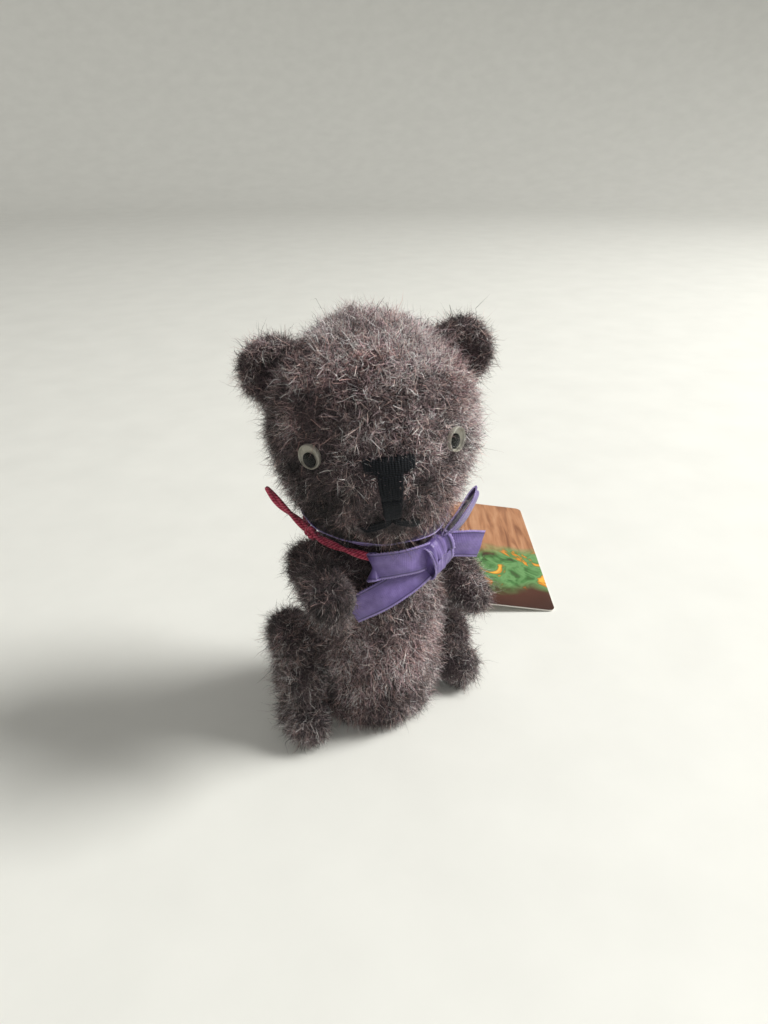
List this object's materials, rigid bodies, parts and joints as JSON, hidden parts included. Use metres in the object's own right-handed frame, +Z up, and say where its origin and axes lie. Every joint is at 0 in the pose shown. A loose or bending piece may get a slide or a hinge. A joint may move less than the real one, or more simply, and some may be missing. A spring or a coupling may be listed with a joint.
{
  "type": "miniature jointed plush bear",
  "caption": "Small plush bear that sits, with disc-jointed head, arms and legs, loose-pupil eyes, stitched nose and mouth, a neck ribbon tied in a bow and a card tag on a yarn.",
  "frame": {"origin": "centre of the torso's flat seat, on the floor", "axes": "+Z up; the bear faces -Y; its left side is +X"},
  "size_m": [0.1228, 0.1085, 0.095],
  "materials": {
    "pile_skin": "mottled brushed pile",
    "pile_ear": "mottled brushed pile",
    "stuffing": "soft fibre",
    "black_thread": "stitched thread",
    "eye_plate": "white gloss",
    "clear_dome": "clear plastic, stated as glass for its look",
    "black_pupil": "black",
    "hardboard": "bare hardboard",
    "steel": "plain steel",
    "purple_satin": "satin with picot edges",
    "crimson_yarn": "doubled twisted yarn",
    "printed_card": "printed paper card, stated as matte plastic"
  },
  "bodies": {
    "torso": {"torso_skin": "pile_skin", "torso_filling": "stuffing", "neck_torso_disc": "hardboard", "left_shoulder_torso_disc": "hardboard", "right_shoulder_torso_disc": "hardboard", "left_hip_torso_disc": "hardboard", "right_hip_torso_disc": "hardboard", "neck_torso_washer": "steel", "left_shoulder_torso_washer": "steel", "right_shoulder_torso_washer": "steel", "left_hip_torso_washer": "steel", "right_hip_torso_washer": "steel", "neck_ribbon": "purple_satin", "bow_knot": "purple_satin", "right_bow_loop": "purple_satin", "left_bow_loop": "purple_satin", "right_bow_tail": "purple_satin", "left_bow_tail": "purple_satin", "neck_yarn": "crimson_yarn", "yarn_knot": "crimson_yarn", "tag_yarn": "crimson_yarn", "tag_knot": "crimson_yarn", "tag_card": "printed_card"},
    "head": {"head_skin": "pile_skin", "head_filling": "stuffing", "left_ear": "pile_ear", "right_ear": "pile_ear", "nose_stitching": "black_thread", "mouth_stitching": "black_thread", "left_eye_cup": "eye_plate", "left_eye_dome": "clear_dome", "right_eye_cup": "eye_plate", "right_eye_dome": "clear_dome", "neck_head_disc": "hardboard", "neck_head_washer": "steel", "neck_pin": "steel"},
    "left_pupil": {"left_pupil": "black_pupil"},
    "right_pupil": {"right_pupil": "black_pupil"},
    "left_arm": {"left_arm_skin": "pile_skin", "left_arm_filling": "stuffing", "left_arm_disc": "hardboard", "left_arm_washer": "steel", "left_arm_pin": "steel"},
    "right_arm": {"right_arm_skin": "pile_skin", "right_arm_filling": "stuffing", "right_arm_disc": "hardboard", "right_arm_washer": "steel", "right_arm_pin": "steel"},
    "left_leg": {"left_leg_skin": "pile_skin", "left_leg_filling": "stuffing", "left_leg_disc": "hardboard", "left_leg_washer": "steel", "left_leg_pin": "steel"},
    "right_leg": {"right_leg_skin": "pile_skin", "right_leg_filling": "stuffing", "right_leg_disc": "hardboard", "right_leg_washer": "steel", "right_leg_pin": "steel"}
  },
  "joints": [
    {"name": "neck_swivel", "type": "hinge", "parent": "torso", "child": "head", "pos_m": [0, 0, 0.053], "axis": [0, 0, 1], "range_deg": [-45, 45]},
    {"name": "left_shoulder", "type": "hinge", "parent": "torso", "child": "left_arm", "pos_m": [0.0112, 0, 0.044], "axis": [-1, 0, 0], "range_deg": [-50, 35]},
    {"name": "right_shoulder", "type": "hinge", "parent": "torso", "child": "right_arm", "pos_m": [-0.0112, 0, 0.044], "axis": [-1, 0, 0], "range_deg": [-60, 10]},
    {"name": "left_hip", "type": "hinge", "parent": "torso", "child": "left_leg", "pos_m": [0.014, 0, 0.014], "axis": [-1, 0, 0], "range_deg": [-20, 75]},
    {"name": "right_hip", "type": "hinge", "parent": "torso", "child": "right_leg", "pos_m": [-0.014, 0, 0.014], "axis": [-1, 0, 0], "range_deg": [-20, 75]},
    {"name": "left_pupil_roll", "type": "hinge", "parent": "head", "child": "left_pupil", "pos_m": [0.00703, -0.02043, 0.07506], "axis": [0.3249, -0.9436, 0.0632], "continuous": true},
    {"name": "right_pupil_roll", "type": "hinge", "parent": "head", "child": "right_pupil", "pos_m": [-0.01929, -0.00983, 0.07307], "axis": [-0.8906, -0.4538, -0.0283], "continuous": true}
  ]
}
